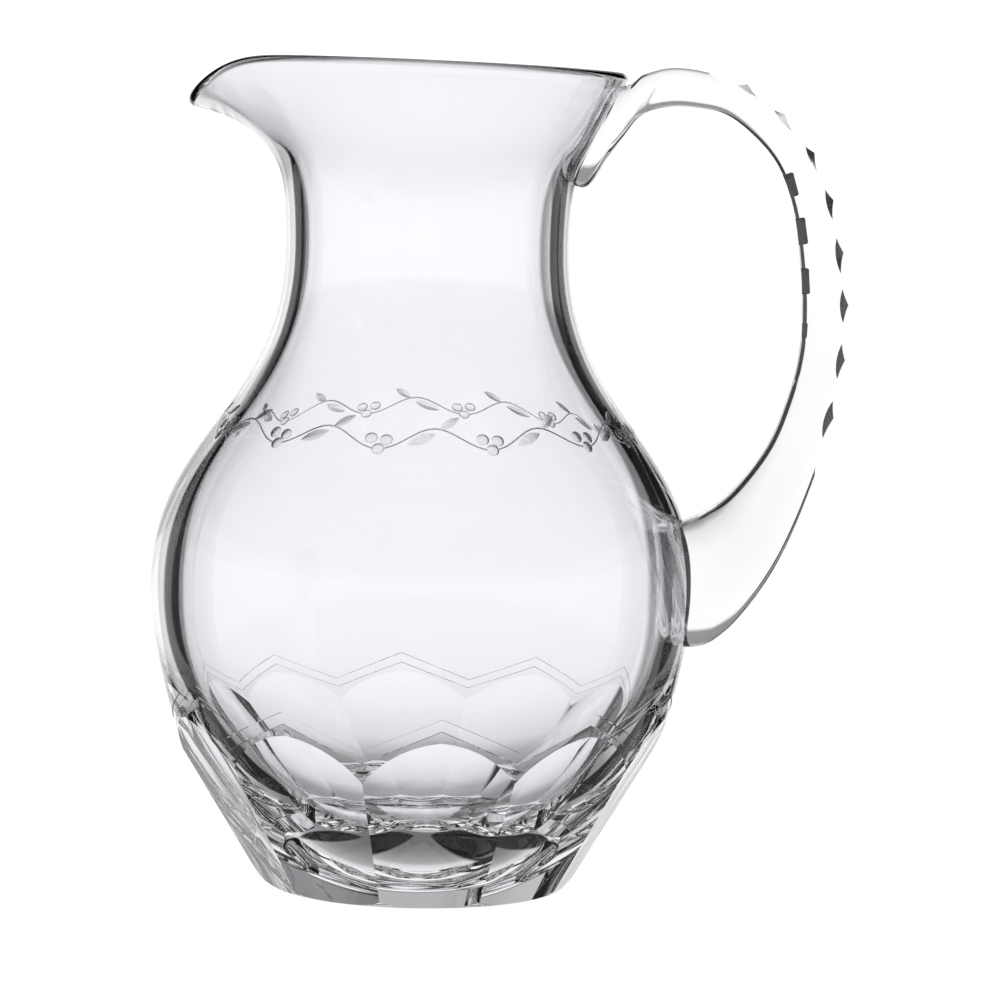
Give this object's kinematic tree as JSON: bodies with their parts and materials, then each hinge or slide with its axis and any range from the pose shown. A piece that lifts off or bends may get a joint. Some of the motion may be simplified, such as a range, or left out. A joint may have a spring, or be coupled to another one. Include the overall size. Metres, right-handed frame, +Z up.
{
  "type": "crystal jug",
  "caption": "Clear crystal water jug with a rounded belly, narrow neck, pulled spout, cut panelled base, engraved shoulder band and an applied handle with a notched back.",
  "frame": {"origin": "centre of the flat foot, on the jug's axis, at table height", "axes": "+Z up along the jug's axis, +X towards the handle, the spout towards -X, Y across the jug"},
  "size_m": [0.1865, 0.1464, 0.2242],
  "materials": {
    "body_crystal": "clear blown crystal, cut base and polished facets, matt engraved band",
    "handle_crystal": "clear hand-drawn crystal, fire polished, with ground and polished notches"
  },
  "bodies": {
    "root": {"jug_body": "body_crystal", "handle": "handle_crystal"}
  },
  "joints": []
}
